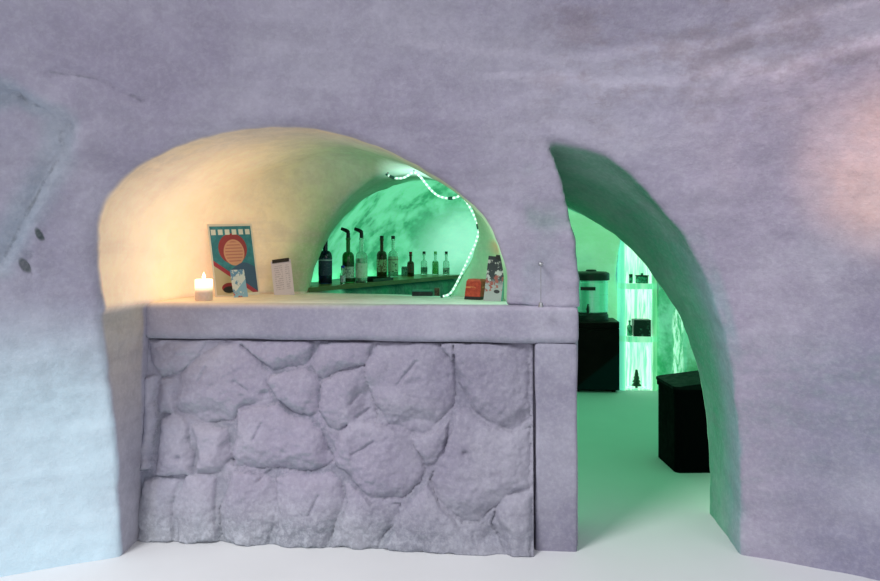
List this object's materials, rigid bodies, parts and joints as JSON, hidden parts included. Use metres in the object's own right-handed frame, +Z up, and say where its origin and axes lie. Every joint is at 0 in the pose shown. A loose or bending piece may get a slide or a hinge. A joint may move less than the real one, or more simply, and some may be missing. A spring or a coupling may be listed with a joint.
{
  "type": "igloo snow bar",
  "caption": "Walk-in igloo bar: two joined snow domes, a stone-fronted counter in an arched alcove, a hatch behind it and a low doorway to the round bar chamber.",
  "frame": {"origin": "on the floor below the middle of the whole part's bounding box", "axes": "+Z up, +X to the guests' right as they face the counter, +Y from the guests' dome towards the bar chamber behind the counter"},
  "size_m": [6.28, 5.6498, 3.14],
  "materials": {
    "snow": "matt sprayed snow, softly lumpy",
    "packed_snow": "smooth packed snow, worn and slightly icy",
    "carved_front": "rough boulders rimed with snow, matt",
    "plywood": "sealed plywood, satin",
    "clear_ice": "cloudy lit ice, wet gloss",
    "dark_wares": "mixed dark packets and jars",
    "cabinet_sheet": "dark sheet, satin",
    "cabinet_black": "black sheet, satin",
    "urn_steel": "brushed steel",
    "urn_black": "black plastic, satin",
    "bin_plastic": "black plastic, satin",
    "bin_lid_plastic": "dark grey plastic, satin",
    "rope_glow": "clear tube lit green",
    "peg_metal": "dull metal",
    "wax": "ivory wax, soft gloss",
    "flame": "burning flame",
    "printed_card": "printed card, satin",
    "white_card": "white card, matt",
    "black_plastic": "black plastic, satin",
    "orange_card": "orange-red printed carton",
    "teal_card": "teal printed carton",
    "dark_glass": "dark blue glass with a plain label band",
    "clear_glass": "clear glass, half full"
  },
  "bodies": {
    "root": {"wall_left": "snow", "wall_over_bar": "snow", "alcove_vault": "snow", "pier": "snow", "wall_over_doorway": "snow", "wall_right": "snow", "bar_core": "snow", "bar_post": "snow", "chamber_left": "snow", "chamber_rear_left": "snow", "chamber_rear_right": "snow", "chamber_right": "snow", "chamber_crown": "snow", "worktop_ledge": "snow", "bar_top": "packed_snow", "bar_front": "carved_front", "worktop_board": "plywood", "ice_panel": "clear_ice", "ice_frame": "clear_ice", "shelf_goods": "dark_wares", "cabinet": "cabinet_sheet", "cabinet_door": "cabinet_black", "urn_body": "urn_steel", "urn_lid": "urn_black", "urn_fittings": "urn_black", "bin_body": "bin_plastic", "bin_lid": "bin_lid_plastic", "rope_light": "rope_glow", "rope_pegs": "peg_metal", "pier_hook": "peg_metal", "candle": "wax", "candle_flame": "flame", "picture_board": "printed_card", "table_card": "printed_card", "picture_card": "printed_card", "menu_card": "white_card", "card_clips": "black_plastic", "tray": "black_plastic", "bottle_tops": "black_plastic", "small_carton": "orange_card", "counter_box": "teal_card", "dark_bottle": "dark_glass", "clear_bottles": "clear_glass"}
  },
  "joints": []
}
